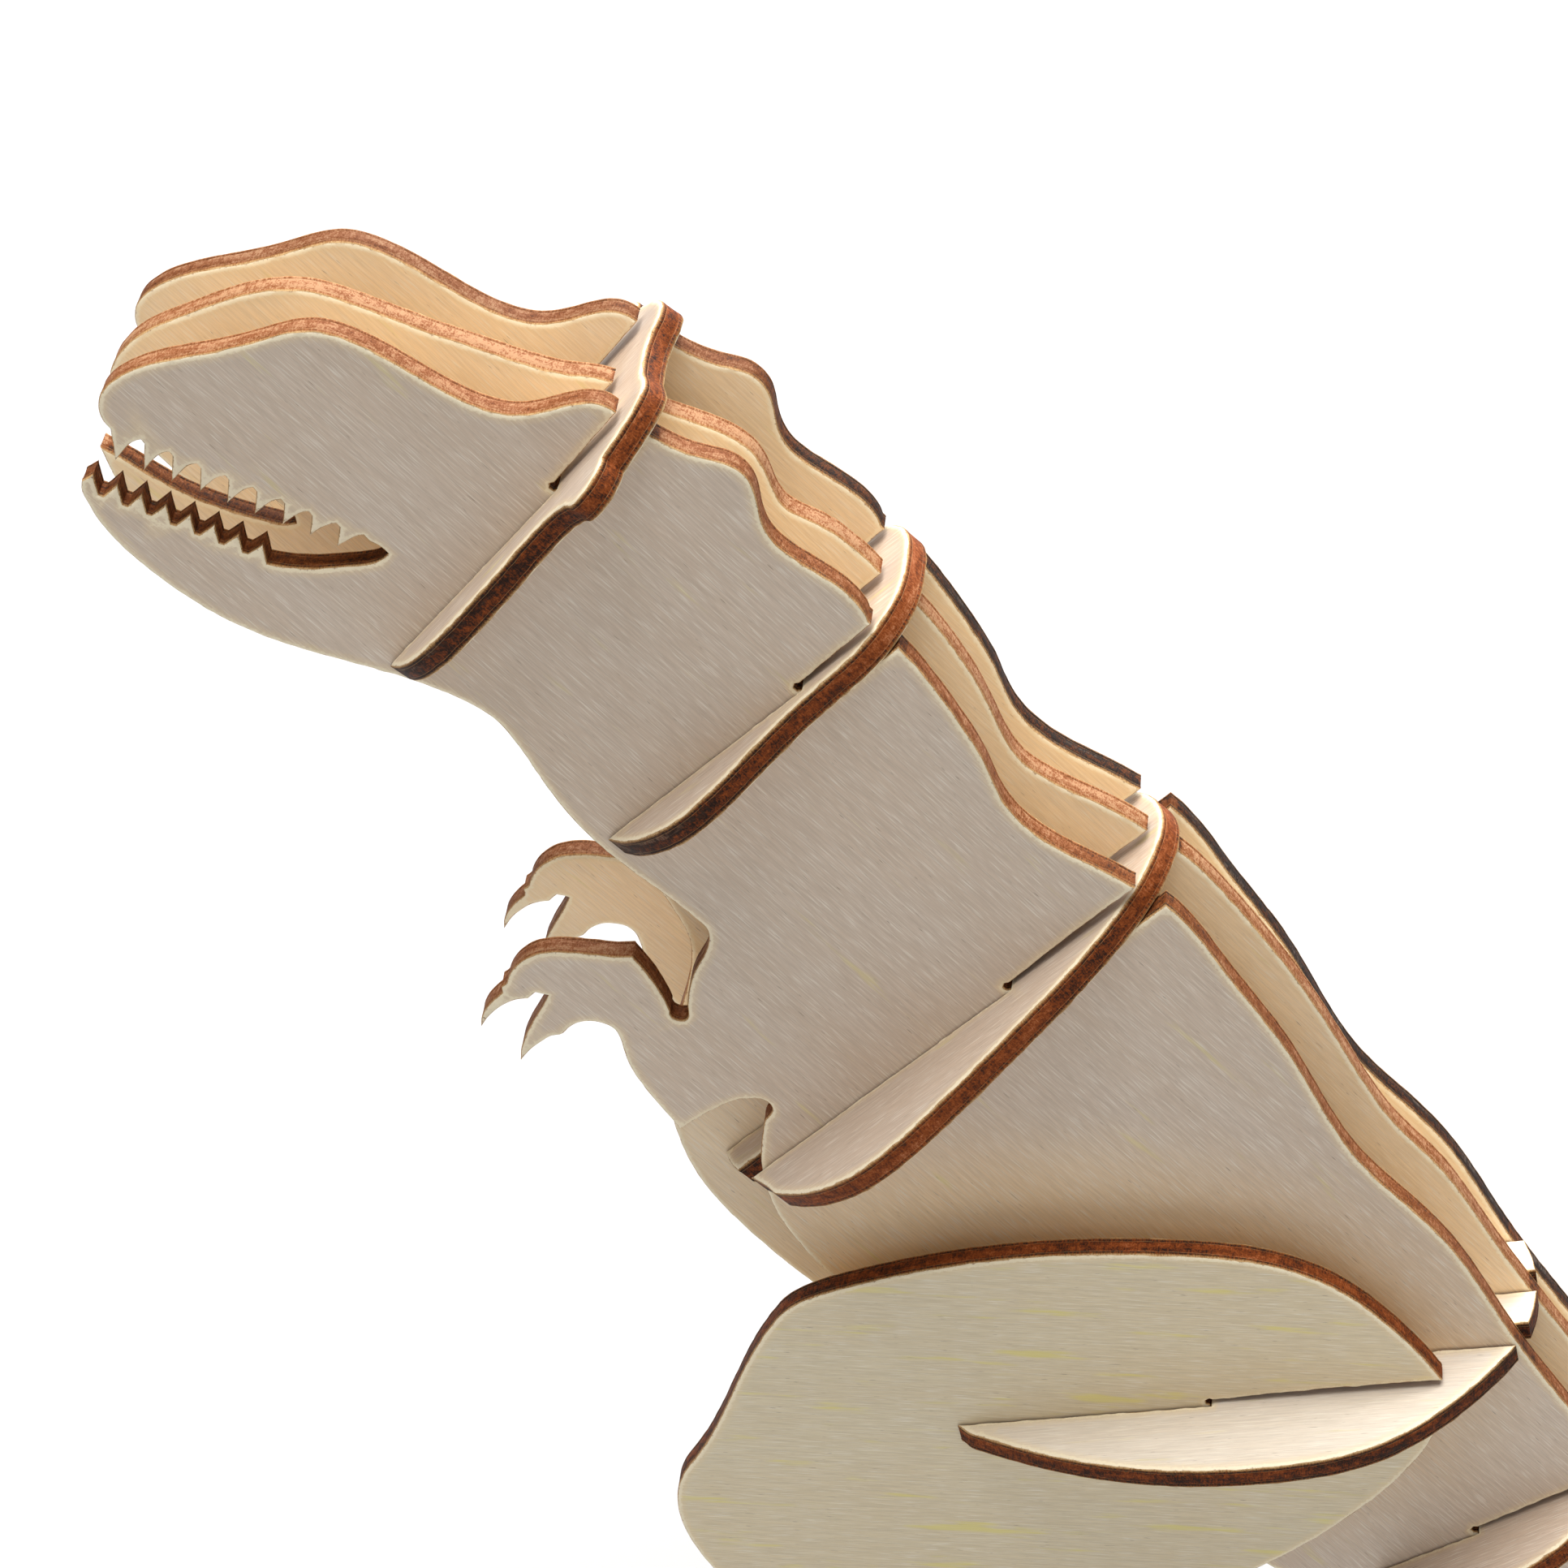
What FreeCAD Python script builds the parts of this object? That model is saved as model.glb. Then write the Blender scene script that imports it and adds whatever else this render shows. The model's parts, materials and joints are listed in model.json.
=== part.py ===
import FreeCAD, Part
import math
import os

# A slot-together plywood tyrannosaur. Every piece is a flat plate of one ply
# thickness. Three profile plates stand side by side, cross ribs and a hip plate
# lock them together with half-lap slots, and two leg plates hang on the hip plate
# and stand on flat foot plates. The figure faces -X, its left side is toward -Y,
# and the origin is on the ground in the middle of its length. Millimetres.

# ---- driving dimensions ------------------------------------------------------
PLY = 3.0                # thickness of every plate
PLATE_PITCH = 8.5        # middle plate to side plate, centre to centre
LEG_PITCH = 14.5         # middle plate to leg plate, centre to centre
SIDE_FIT = 0.15          # gap between a plate and each wall of the slot it enters
END_FIT = 0.05           # gap between a slot's closed end and the meeting line
SLOT_FRONT_GAP = 0.45    # play in front of a cross piece at its slot's closed end
SLOT_MOUTH_GAP = 0.85    # the same play where the slot has flared
FLARE_LENGTH = 12.0      # from the slot's closed end to where it has flared
SLOT_REAR_GAP = 0.1      # play behind the cross piece
DWELL_R = 0.5            # round burn left where the laser turns at a slot's end
REACH = 120.0            # longer than any slot or plate is wide

# ---- cross pieces: where each one lies on the side view ------------------------
# x and z of the meeting line of its slots with the profile plates' slots, and the
# angle of its plane, in degrees up from the rearward level. Its thickness lies
# behind and below that plane.
RIB_1_AT = (-97.0, 212.0, 52.0)
RIB_2_AT = (-72.0, 188.2, 46.2)
RIB_3_AT = (-48.7, 148.4, 47.5)
HIP_AT = (7.4, 97.6, 12.4)
HIP_BODY_MEET = -28.0    # meeting line of the hip plate and the profile plates
HIP_LEG_MEET = -31.0     # meeting line of the hip plate and the leg plates

# Tail ribs: x and z on the back line, angle, depth of the meeting line below the
# back, half width, half height, and how far the rib stands above the back.
TAIL_RIBS = [
    (27.0, 77.5, 36.4, 20.0, 19.0, 20.0, 2.2),
    (47.0, 55.0, 44.0, 16.0, 16.5, 16.2, 2.0),
    (69.0, 38.2, 55.0, 12.0, 14.5, 12.4, 1.8),
    (91.0, 26.6, 62.0, 8.6, 13.0, 9.3, 1.6),
    (115.5, 17.4, 68.0, 6.6, 9.0, 7.4, 1.6),
]
FULL_TAIL_RIBS = 4       # tail ribs that cross all three plates

# ---- teeth --------------------------------------------------------------------
UPPER_TEETH = 9
UPPER_FIRST = (-142.6, 212.2)
UPPER_STEP = (2.8, -1.15)
UPPER_HEIGHT = 3.9       # of the first tooth, and how much less each next one is
UPPER_SHRINK = 0.14
LOWER_TEETH = 8
LOWER_FIRST = (-145.1, 210.4)
LOWER_STEP = (2.44, -1.1)
LOWER_HEIGHT = 2.6
LOWER_SHRINK = 0.06

# ---- legs and feet: x of the left leg; the right one is set back in mid stride -----
STRIDE = 12.0            # how far behind the left foot the right one stands
HEEL_X = -36.0           # rearmost point of the left foot plate
TAB_FROM_X = -74.0
TAB_TO_X = -56.0
TAB_RISE = 0.2           # the tab stops this far above the ground
SOLE_Z = PLY + END_FIT   # the leg's shoulders rest on the foot plate


# ---- outlines: edges in a flat drawing plane -------------------------------------
def vec(p):
    return FreeCAD.Vector(p[0], p[1], 0)


def soft(*points):
    """One smooth edge through the points."""
    curve = Part.BSplineCurve()
    curve.interpolate([vec(p) for p in points])
    return [curve.toShape()]


def sharp(*points):
    """Straight edges from point to point."""
    return [Part.makeLine(vec(a), vec(b)) for a, b in zip(points, points[1:])]


def board(edges):
    """A plate of one ply thickness from a closed chain of edges."""
    face = Part.Face(Part.Wire(Part.__sortEdges__(edges)))
    solid = face.extrude(FreeCAD.Vector(0, 0, PLY))
    if solid.Volume < 0:
        solid.reverse()
    return solid


def mirrored(runs):
    """A closed outline from the half of it on the +u side, top centre to bottom centre."""
    def flip(points):
        return [(-u, v) for u, v in reversed(points)]
    edges = []
    first, last = runs[0][1], runs[-1][1]
    edges += runs[0][0](*(flip(first) + first[1:]))
    for kind, points in runs[1:-1]:
        edges += kind(*points)
        edges += kind(*flip(points))
    edges += runs[-1][0](*(last + flip(last)[1:]))
    return edges


# ---- placing the flat drawings in the figure --------------------------------------
def upright(solid, centre_y):
    """Stand a profile drawing (x, z) up, centred on a y."""
    placed = solid.copy()
    placed.Placement = FreeCAD.Placement(FreeCAD.Vector(0, centre_y + PLY / 2, 0),
                                         FreeCAD.Rotation(FreeCAD.Vector(1, 0, 0), 90))
    return placed


def across(at):
    """Placement of a cross piece: u is +Y, v runs up its plane, thickness goes behind."""
    x, z, angle = at
    a = math.radians(angle)
    up = FreeCAD.Vector(math.cos(a), 0, math.sin(a))
    behind = FreeCAD.Vector(math.sin(a), 0, -math.cos(a))
    turn = FreeCAD.Matrix(0, up.x, behind.x, x,
                          1, up.y, behind.y, 0,
                          0, up.z, behind.z, z,
                          0, 0, 0, 1)
    return FreeCAD.Placement(turn)


def lay(solid, at):
    placed = solid.copy()
    placed.Placement = across(at)
    return placed


# ---- half-lap slots ----------------------------------------------------------------
def slot_for_cross(at, meet, opens):
    """Cutter for the slot in an upright plate: from the meeting line toward opens (+1, -1)."""
    start = meet - opens * END_FIT
    mouth = meet + opens * REACH
    flare_v = meet + opens * FLARE_LENGTH
    section = [(start, -SLOT_FRONT_GAP), (flare_v, -SLOT_MOUTH_GAP), (mouth, -SLOT_MOUTH_GAP),
               (mouth, PLY + SLOT_REAR_GAP), (start, PLY + SLOT_REAR_GAP)]
    corners = [FreeCAD.Vector(-REACH / 2, v, n) for v, n in section]
    wedge = Part.Face(Part.makePolygon(corners + corners[:1])).extrude(FreeCAD.Vector(REACH, 0, 0))
    dwell = Part.makeCylinder(DWELL_R, REACH, FreeCAD.Vector(-REACH / 2, start, -SLOT_FRONT_GAP / 2),
                              FreeCAD.Vector(1, 0, 0))
    return lay(wedge.fuse(dwell), at)


def slot_for_plate(centre_u, meet, opens):
    """Cutter, in a cross piece's own plane, for the slot that an upright plate enters."""
    width = PLY + 2 * SIDE_FIT
    low = meet - END_FIT if opens > 0 else meet - REACH
    box = Part.makeBox(width, REACH + END_FIT, PLY * 3,
                       FreeCAD.Vector(centre_u - width / 2, low, -PLY))
    return box


def cut_all(solid, cutters):
    for cutter in cutters:
        solid = solid.cut(cutter)
    return solid


# ---- outlines of the profile plates --------------------------------------------------
def upper_teeth():
    """From the bottom front of the snout back to the corner of the mouth."""
    points = [(-142.8, 216.1)]
    for i in range(UPPER_TEETH):
        tip_x = UPPER_FIRST[0] + i * UPPER_STEP[0]
        tip_z = UPPER_FIRST[1] + i * UPPER_STEP[1]
        next_x = tip_x + UPPER_STEP[0]
        top_z = tip_z + UPPER_STEP[1] + UPPER_HEIGHT - UPPER_SHRINK * i
        points += [(tip_x, tip_z), (next_x - 0.25, top_z - 0.1), (next_x + 0.1, top_z),
                   (next_x + 0.4, top_z - 0.5)]
    return sharp(*points, (-115.6, 203.2), (-114.9, 202.5))


def lower_teeth():
    """From the corner of the mouth forward along the gum and the teeth to the chin."""
    gum = [(-114.9, 202.5), (-115.4, 201.9), (-119.3, 200.6), (-123.4, 200.0), (-127.7, 200.3)]
    points = [gum[-1]]
    for i in reversed(range(LOWER_TEETH)):
        tip_x = LOWER_FIRST[0] + i * LOWER_STEP[0]
        tip_z = LOWER_FIRST[1] + i * LOWER_STEP[1]
        depth = LOWER_HEIGHT - LOWER_SHRINK * i
        if i < LOWER_TEETH - 1:
            points += [(tip_x + 0.75, tip_z - depth - 0.15), (tip_x + 0.3, tip_z - depth)]
        points.append((tip_x, tip_z))
    return soft(*gum) + sharp(*points, (-146.4, 209.5), (-146.6, 208.6))


def side_profile():
    """Outline shared by the left and the right plate, with the jaws, the arm and a short tail."""
    snout_top = soft((-142.8, 216.1), (-143.7, 217.8), (-143.5, 220.0), (-141.2, 222.6),
                     (-137.0, 224.6), (-130.5, 226.4), (-125.2, 228.3), (-121.3, 229.3),
                     (-117.0, 228.3), (-111.5, 225.2), (-106.0, 221.9), (-101.0, 220.6),
                     (-96.5, 221.8), (-93.2, 222.6), (-90.5, 221.4))
    neck = soft((-90.5, 221.4), (-86.5, 218.6), (-82.5, 216.8), (-78.9, 215.8), (-77.0, 213.7),
                (-76.2, 210.2), (-75.0, 207.1), (-72.6, 204.8), (-68.8, 202.2), (-64.8, 197.2))
    back = soft((-64.8, 197.2), (-60.8, 193.2), (-56.0, 186.2), (-52.3, 179.6), (-50.2, 174.6),
                (-46.4, 170.2), (-41.6, 167.2), (-35.7, 163.9))
    rump = soft((-35.7, 163.9), (-31.5, 161.0), (-25.2, 152.6), (-17.8, 141.9), (-11.8, 130.9),
                (-7.6, 124.7), (-2.3, 119.2), (3.2, 113.0), (8.1, 105.4), (12.0, 98.9),
                (18.4, 89.6), (31.0, 72.5), (45.0, 56.8), (61.0, 43.3), (78.0, 32.6), (94.0, 25.0))
    tail_end = soft((94.0, 25.0), (101.0, 20.8), (104.0, 16.4), (101.0, 11.6), (94.5, 9.2))
    belly = soft((94.5, 9.2), (80.0, 11.0), (62.0, 16.4), (44.0, 23.8), (26.0, 32.4), (8.0, 42.6),
                 (-8.0, 52.8), (-24.0, 63.0), (-39.0, 72.4), (-52.0, 83.4), (-61.5, 94.2),
                 (-68.8, 102.3), (-73.4, 108.8), (-75.8, 115.0), (-76.4, 121.0), (-75.7, 126.2))
    notch = soft((-75.7, 126.2), (-75.3, 128.2), (-76.6, 129.0), (-79.6, 128.3), (-82.8, 126.0),
                 (-85.7, 123.5))
    forearm = soft((-85.7, 123.5), (-88.0, 126.9), (-90.5, 131.0), (-91.9, 134.9), (-93.2, 138.4),
                   (-95.6, 139.1), (-98.1, 137.9))
    claw_2 = sharp((-98.1, 137.9), (-98.9, 136.9), (-100.2, 136.4)) \
        + soft((-100.2, 136.4), (-102.2, 134.6), (-103.8, 132.4)) \
        + soft((-103.8, 132.4), (-103.1, 136.4), (-101.7, 139.6), (-100.3, 142.7))
    claw_1 = sharp((-100.3, 142.7), (-101.7, 142.9), (-102.6, 141.9)) \
        + soft((-102.6, 141.9), (-104.9, 141.1), (-106.8, 139.3), (-108.1, 137.2)) \
        + soft((-108.1, 137.2), (-107.8, 139.4), (-106.6, 141.4), (-105.5, 142.6)) \
        + sharp((-105.5, 142.6), (-105.6, 143.5), (-104.9, 144.2))
    arm_top = soft((-104.9, 144.2), (-103.6, 147.0), (-101.4, 148.7), (-98.6, 149.3),
                   (-94.5, 149.2), (-90.6, 149.3))
    slit = soft((-90.6, 149.3), (-88.6, 146.3), (-86.5, 141.6)) \
        + soft((-86.5, 141.6), (-86.0, 140.4), (-85.0, 140.3), (-84.5, 141.3)) \
        + soft((-84.5, 141.3), (-84.5, 144.2), (-83.6, 148.0), (-82.2, 151.6), (-82.2, 153.6),
               (-83.2, 155.2))
    chest = soft((-83.2, 155.2), (-85.7, 157.5), (-89.9, 161.2), (-93.8, 164.9), (-97.4, 169.4),
                 (-100.2, 174.2), (-102.4, 178.3), (-104.6, 181.4), (-108.4, 184.0), (-114.0, 186.3),
                 (-121.5, 188.4), (-127.5, 190.2), (-133.0, 192.8), (-138.0, 196.4), (-142.2, 200.4),
                 (-145.3, 204.8), (-146.6, 208.6))
    return upper_teeth() + snout_top + neck + back + rump + tail_end + belly + notch + forearm \
        + claw_2 + claw_1 + arm_top + slit + chest + lower_teeth()


def middle_profile():
    """Outline of the middle plate: a plain wedge mouth, no arm, a deeper belly and the whole tail."""
    mouth = soft((-146.6, 207.9), (-144.0, 206.4), (-139.4, 203.3), (-133.7, 200.8), (-127.6, 199.3)) \
        + sharp((-127.6, 199.3), (-126.4, 199.6), (-126.6, 200.6)) \
        + soft((-126.6, 200.6), (-132.0, 205.2), (-138.6, 209.8), (-144.2, 214.4))
    head = soft((-144.2, 214.4), (-144.7, 216.6), (-143.4, 219.7), (-140.7, 222.4), (-136.2, 224.8),
                (-131.7, 226.9), (-127.3, 228.3), (-123.0, 228.5), (-118.8, 227.4), (-110.4, 224.2),
                (-102.0, 221.5), (-97.7, 220.3), (-93.5, 219.9), (-90.8, 218.8))
    neck = soft((-90.8, 218.8), (-86.4, 216.1), (-80.8, 214.0), (-77.6, 211.6), (-76.1, 208.6),
                (-74.6, 205.4), (-70.8, 203.2), (-67.2, 200.5), (-64.0, 197.0))
    back = soft((-64.0, 197.0), (-60.4, 193.7), (-56.7, 188.6), (-53.5, 183.1), (-51.2, 177.8),
                (-48.6, 173.4), (-44.6, 170.6), (-39.3, 167.9), (-34.6, 164.9))
    rump = soft((-34.6, 164.9), (-30.6, 162.0), (-23.8, 154.3), (-16.1, 143.6), (-8.6, 130.8),
                (-4.0, 123.8), (1.6, 117.6), (7.4, 108.9), (13.4, 99.8), (19.6, 91.0),
                (32.3, 73.9), (46.3, 58.2), (62.0, 44.8), (79.0, 34.0), (97.0, 25.4), (115.0, 18.2),
                (131.0, 12.0), (142.0, 7.4))
    tip = soft((142.0, 7.4), (145.4, 5.4), (146.5, 3.2), (145.2, 1.0), (142.0, 0.0)) \
        + sharp((142.0, 0.0), (134.0, 0.1))
    belly = soft((134.0, 0.1), (122.0, 1.8), (104.0, 4.6), (84.0, 8.8), (64.0, 14.2), (44.0, 21.6),
                 (24.0, 30.8), (6.0, 40.2), (-10.0, 49.4), (-27.0, 58.4), (-44.0, 68.4), (-57.0, 78.6),
                 (-65.5, 86.6), (-72.6, 92.8), (-79.2, 99.9), (-84.4, 107.2), (-87.4, 115.6),
                 (-88.2, 124.4), (-86.7, 133.4), (-85.2, 141.2), (-85.4, 145.2), (-87.4, 149.6),
                 (-91.2, 156.4), (-95.5, 163.0), (-99.4, 169.4), (-102.3, 175.2), (-105.4, 180.0),
                 (-110.0, 183.2), (-116.0, 185.6), (-122.2, 187.2), (-128.4, 189.0), (-134.4, 192.0),
                 (-139.6, 195.8), (-143.6, 200.6), (-145.9, 205.4), (-146.6, 207.9))
    return mouth + head + neck + back + rump + tip + belly


def leg_profile(back):
    """Haunch, shin and ankle in one piece, with a tab under the sole, set back below the haunch."""
    def swing(share, *points):
        return [(x + share * back, z) for x, z in points]
    haunch = soft((4.0, 96.9), (0.6, 101.5), (-3.4, 105.9), (-10.0, 111.3), (-18.0, 114.3),
                  (-28.0, 114.8), (-42.0, 113.4), *swing(0.25, (-57.0, 109.5)),
                  *swing(0.4, (-67.0, 105.3)), *swing(0.5, (-72.0, 102.2), (-74.2, 99.4)))
    shin_front = sharp(*swing(0.5, (-74.2, 99.4)), *swing(1, (-84.2, 74.2))) \
        + soft(*swing(1, (-84.2, 74.2), (-86.2, 66.5), (-84.0, 58.5), (-77.0, 48.6), (-68.4, 38.6),
                      (-62.6, 30.0), (-61.2, 22.4), (-64.4, 15.6), (-71.6, 10.8), (-79.6, 8.2),
                      (-83.2, 6.0), (-84.0, SOLE_Z)))
    sole = sharp(*swing(1, (-84.0, SOLE_Z), (TAB_FROM_X, SOLE_Z), (TAB_FROM_X, TAB_RISE),
                        (TAB_TO_X, TAB_RISE), (TAB_TO_X, SOLE_Z), (-43.0, SOLE_Z)))
    calf = soft(*swing(1, (-43.0, SOLE_Z), (-43.8, 8.6), (-46.6, 16.0), (-47.2, 24.0), (-44.4, 33.0)),
                *swing(0.9, (-36.0, 44.0)), *swing(0.7, (-24.0, 55.4)), *swing(0.4, (-11.0, 66.6)),
                *swing(0.15, (-2.0, 77.4)), (2.8, 86.4), (4.0, 91.5)) \
        + sharp((4.0, 91.5), (4.0, 96.9))
    return haunch + shin_front + sole + calf


# ---- outlines of the cross pieces (u sideways, v up the plane) ----------------------------
RIB_1 = [(soft, [(0.0, 13.0), (3.6, 13.4), (7.2, 14.5), (10.4, 13.1), (12.6, 10.6), (13.9, 8.8)]),
         (soft, [(13.9, 8.8), (16.4, 7.9), (17.7, 5.6), (17.2, 3.7)]),
         (soft, [(17.2, 3.7), (15.2, 1.2), (14.5, -2.5), (15.1, -8.0), (15.8, -16.0),
                 (15.6, -21.5), (13.8, -26.4), (10.1, -30.3), (5.6, -33.0), (0.0, -34.0)])]
RIB_2 = [(soft, [(0.0, 14.8), (4.4, 14.4), (8.2, 12.4), (10.8, 9.0), (11.8, 4.4), (12.4, 0.2),
                 (14.2, -6.2), (16.6, -13.4), (17.1, -18.4), (15.4, -23.8), (12.8, -27.7)]),
         (soft, [(12.8, -27.7), (10.1, -30.4), (5.6, -33.4), (0.0, -34.4)])]
RIB_3 = [(soft, [(0.0, 23.0), (4.2, 22.0), (7.8, 19.8), (10.6, 16.6), (14.4, 9.8), (17.8, 0.6),
                 (20.8, -9.2), (22.8, -17.4), (22.9, -24.4), (20.4, -31.6), (15.8, -38.2)]),
         (soft, [(15.8, -38.2), (10.6, -42.4), (6.4, -46.0), (0.0, -48.8)])]
HIP = [(soft, [(0.0, 7.5), (5.6, 6.7), (10.0, 4.8), (14.2, 1.6), (20.0, -4.4), (24.6, -12.0),
               (26.6, -24.0), (25.6, -38.0), (21.8, -51.0), (17.5, -60.0)]),
       (soft, [(17.5, -60.0), (11.0, -64.4), (0.0, -66.4)])]
FOOT = [(soft, [(0.0, 62.0), (2.6, 58.6), (3.7, 51.5), (3.6, 44.0)]),
        (soft, [(3.6, 44.0), (4.3, 40.4), (5.6, 42.6)]),
        (soft, [(5.6, 42.6), (7.8, 48.4), (11.4, 53.4)]),
        (soft, [(11.4, 53.4), (12.1, 47.6), (11.0, 38.0), (8.9, 26.0), (8.2, 14.0), (6.4, 5.2),
                (2.8, 0.8), (0.0, 0.0)])]


def oval(half_width, half_height, centre_v):
    ellipse = Part.Ellipse(FreeCAD.Vector(0, 0, 0), max(half_width, half_height),
                           min(half_width, half_height)).toShape()
    if half_height > half_width:
        ellipse.rotate(FreeCAD.Vector(0, 0, 0), FreeCAD.Vector(0, 0, 1), 90)
    ellipse.translate(FreeCAD.Vector(0, centre_v, 0))
    return [ellipse]


def cross_piece(edges, at, slots):
    """A flat cross piece; slots is a list of (u, meet, opens)."""
    return lay(cut_all(board(edges), [slot_for_plate(*s) for s in slots]), at)


# ---- assembly -------------------------------------------------------------------------
PLATES_Y = (-PLATE_PITCH, 0.0, PLATE_PITCH)
pieces = {}
side_cutters = []
middle_cutters = []

for number, (half, at) in enumerate(((RIB_1, RIB_1_AT), (RIB_2, RIB_2_AT), (RIB_3, RIB_3_AT)), 1):
    pieces["rib_%d" % number] = cross_piece(mirrored(half), at, [(y, 0.0, -1) for y in PLATES_Y])
    side_cutters.append(slot_for_cross(at, 0.0, 1))
    middle_cutters.append(slot_for_cross(at, 0.0, 1))

for number, (x, z, angle, depth, half_width, half_height, proud) in enumerate(TAIL_RIBS, 1):
    at = (x, z, angle)
    crossed = PLATES_Y if number <= FULL_TAIL_RIBS else (0.0,)
    edges = oval(half_width, half_height, proud - half_height)
    pieces["tail_rib_%d" % number] = cross_piece(edges, at, [(y, -depth, -1) for y in crossed])
    middle_cutters.append(slot_for_cross(at, -depth, 1))
    if number <= FULL_TAIL_RIBS:
        side_cutters.append(slot_for_cross(at, -depth, 1))

hip_slots = [(y, HIP_BODY_MEET, 1) for y in PLATES_Y]
hip_slots += [(y, HIP_LEG_MEET, -1) for y in (-LEG_PITCH, LEG_PITCH)]
pieces["hip_plate"] = cross_piece(mirrored(HIP), HIP_AT, hip_slots)
side_cutters.append(slot_for_cross(HIP_AT, HIP_BODY_MEET, -1))
middle_cutters.append(slot_for_cross(HIP_AT, HIP_BODY_MEET, -1))

side = board(side_profile())
foot_at = (HEEL_X, 0.0, 180.0)
tab_hole = Part.makeBox(PLY + 2 * SIDE_FIT, TAB_TO_X - TAB_FROM_X + 2 * SIDE_FIT, PLY * 3,
                        FreeCAD.Vector(-PLY / 2 - SIDE_FIT, HEEL_X - TAB_TO_X - SIDE_FIT, -PLY))
foot = lay(board(mirrored(FOOT)).cut(tab_hole), foot_at)

pieces["body_middle"] = cut_all(upright(board(middle_profile()), 0.0), middle_cutters)
for name, sign, back in (("left", -1, 0.0), ("right", 1, STRIDE)):
    pieces["body_" + name] = cut_all(upright(side, sign * PLATE_PITCH), side_cutters)
    leg = upright(board(leg_profile(back)), sign * LEG_PITCH)
    pieces["leg_" + name] = leg.cut(slot_for_cross(HIP_AT, HIP_LEG_MEET, 1))
    placed = foot.copy()
    placed.translate(FreeCAD.Vector(back, sign * LEG_PITCH, 0))
    pieces["foot_" + name] = placed

os.makedirs("parts", exist_ok=True)
for name, shape in pieces.items():
    shape.exportStep("parts/%s.step" % name)
    box = shape.BoundBox
    print("%-14s solids %d valid %s  x %.1f %.1f  y %.1f %.1f  z %.1f %.1f  volume %.0f"
          % (name, len(shape.Solids), shape.isValid(), box.XMin, box.XMax, box.YMin, box.YMax,
             box.ZMin, box.ZMax, shape.Volume))
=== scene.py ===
import json
import math

import bmesh
import bpy
import numpy as np
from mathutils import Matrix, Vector
from mathutils.geometry import delaunay_2d_cdt
from mathutils.kdtree import KDTree

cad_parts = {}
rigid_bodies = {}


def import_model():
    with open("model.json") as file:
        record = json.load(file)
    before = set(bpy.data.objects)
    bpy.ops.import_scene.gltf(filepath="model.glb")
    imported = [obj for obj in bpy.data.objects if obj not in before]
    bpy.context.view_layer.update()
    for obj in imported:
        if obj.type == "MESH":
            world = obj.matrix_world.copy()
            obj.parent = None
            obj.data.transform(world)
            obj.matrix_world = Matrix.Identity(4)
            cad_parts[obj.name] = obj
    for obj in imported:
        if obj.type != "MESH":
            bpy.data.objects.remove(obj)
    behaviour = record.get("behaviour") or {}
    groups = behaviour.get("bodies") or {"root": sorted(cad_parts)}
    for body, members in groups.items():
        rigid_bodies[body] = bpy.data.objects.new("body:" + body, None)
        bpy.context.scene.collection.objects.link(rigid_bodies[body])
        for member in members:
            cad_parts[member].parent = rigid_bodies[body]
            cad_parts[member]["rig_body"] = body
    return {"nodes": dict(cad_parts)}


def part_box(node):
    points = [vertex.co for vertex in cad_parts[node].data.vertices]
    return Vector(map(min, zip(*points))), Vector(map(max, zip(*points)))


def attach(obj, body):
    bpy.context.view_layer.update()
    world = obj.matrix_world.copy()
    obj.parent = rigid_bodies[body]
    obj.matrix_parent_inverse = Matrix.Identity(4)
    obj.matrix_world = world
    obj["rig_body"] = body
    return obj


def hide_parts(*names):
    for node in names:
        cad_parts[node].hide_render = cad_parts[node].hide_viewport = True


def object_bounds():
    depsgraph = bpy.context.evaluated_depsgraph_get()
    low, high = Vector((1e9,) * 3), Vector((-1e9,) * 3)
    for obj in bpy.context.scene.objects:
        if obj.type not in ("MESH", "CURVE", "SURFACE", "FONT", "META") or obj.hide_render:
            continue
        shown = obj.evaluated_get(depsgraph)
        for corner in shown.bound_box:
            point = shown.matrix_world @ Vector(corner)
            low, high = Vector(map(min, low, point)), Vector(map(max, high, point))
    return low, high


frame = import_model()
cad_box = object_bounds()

# Every packed plate is rebuilt as laser-cut three-ply: the same outline, with a
# smooth rim, softened arrises, sunken glue lines, and the rows that its burnt edge
# needs. Lengths are millimetres until a mesh is written, unless a comment says metres.

MM = 0.001
STEP = 0.5                  # spacing of points along a cut edge
CORNER = math.radians(35)   # an outline that turns by more than this has a corner there
SHARP = math.radians(38)    # faces that meet at more than this keep a sharp edge
WELD = 1e-6                 # packed vertices closer than this are one (metres)
ON_FACE = 0.01              # a vertex this near the upper face's level belongs to it
JOIN = 1e-7                 # points of a face closer than this are one
TINY = 1e-9                 # shortest length that is divided by
FIRST_SEED = 100

# Wall of a cut edge: depth through the ply, how far it is sunk, how much that varies,
# and which ply it belongs to, so that a ply's rows share one set of striations. The
# first and last rows stop short of the faces, which bend down to meet them.
PLY = 3.0
WALL = [
    (0.13, 0.11, 0.060, 0), (0.22, 0.03, 0.050, 0), (0.40, 0.00, 0.035, 0), (0.62, 0.01, 0.030, 0),
    (0.70, 0.06, 0.010, 1), (0.78, 0.02, 0.020, 1), (1.50, 0.03, 0.025, 1), (2.22, 0.02, 0.020, 1),
    (2.30, 0.06, 0.010, 1), (2.38, 0.01, 0.030, 2), (2.60, 0.00, 0.035, 2), (2.78, 0.03, 0.050, 2),
    (2.87, 0.11, 0.060, 2),
]
FRAY = 0.14              # how much the depth of the first and last rows varies
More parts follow.
